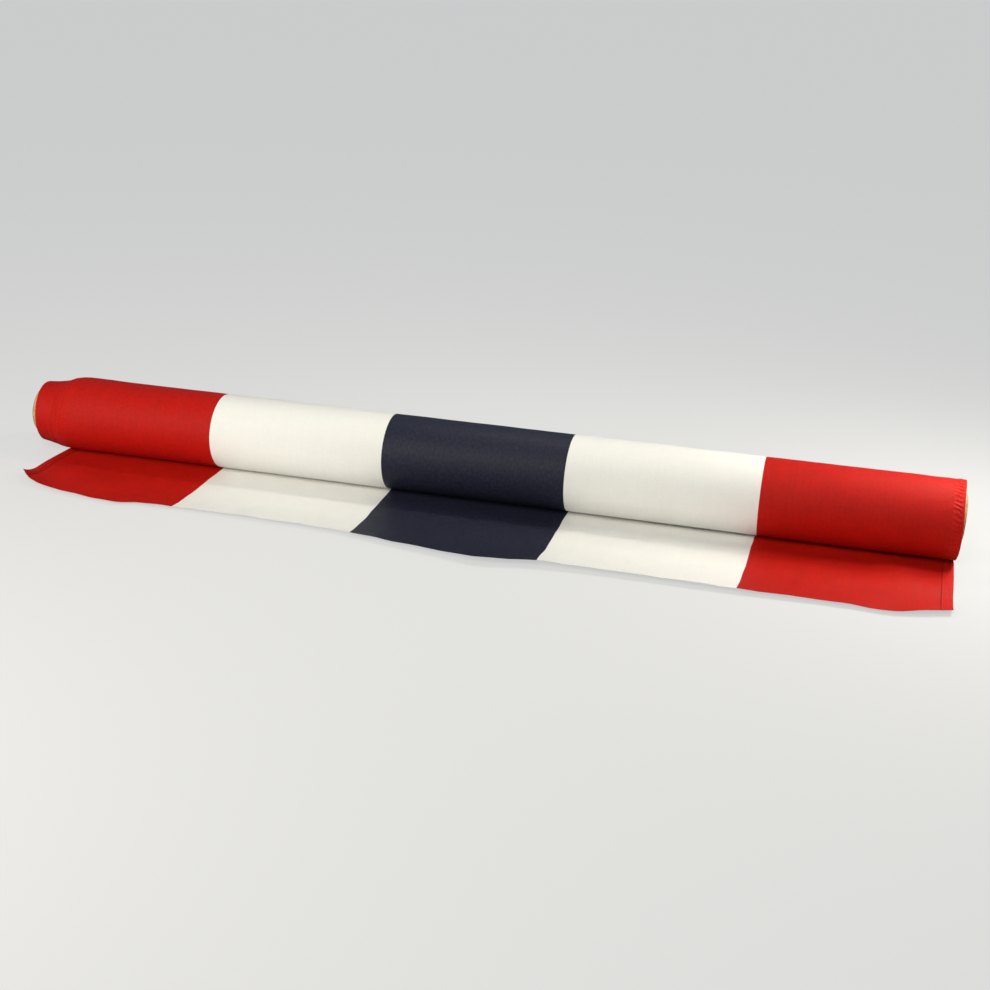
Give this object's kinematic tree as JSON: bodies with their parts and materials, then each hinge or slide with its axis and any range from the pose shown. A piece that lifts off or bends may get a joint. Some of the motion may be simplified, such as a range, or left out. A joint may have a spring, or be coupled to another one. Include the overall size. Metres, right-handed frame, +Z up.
{
  "type": "roll of bunting fabric",
  "caption": "Roll of striped bunting cloth, red, white, navy, white and red, wound on a cardboard tube, with its hemmed loose end drawn out flat in front.",
  "frame": {"origin": "on the surface it rests on, under the roll's axis, in the middle stripe", "axes": "+X along the roll, +Y away from the loose end, +Z up"},
  "size_m": [0.9405, 0.189, 0.0756],
  "materials": {
    "bunting_cloth": "matt plain weave, striped red, white, navy, white, red",
    "tube_board": "matt spiral-wound board"
  },
  "bodies": {
    "root": {"roll": "bunting_cloth", "loose_end": "bunting_cloth", "core_tube": "tube_board"}
  },
  "joints": []
}
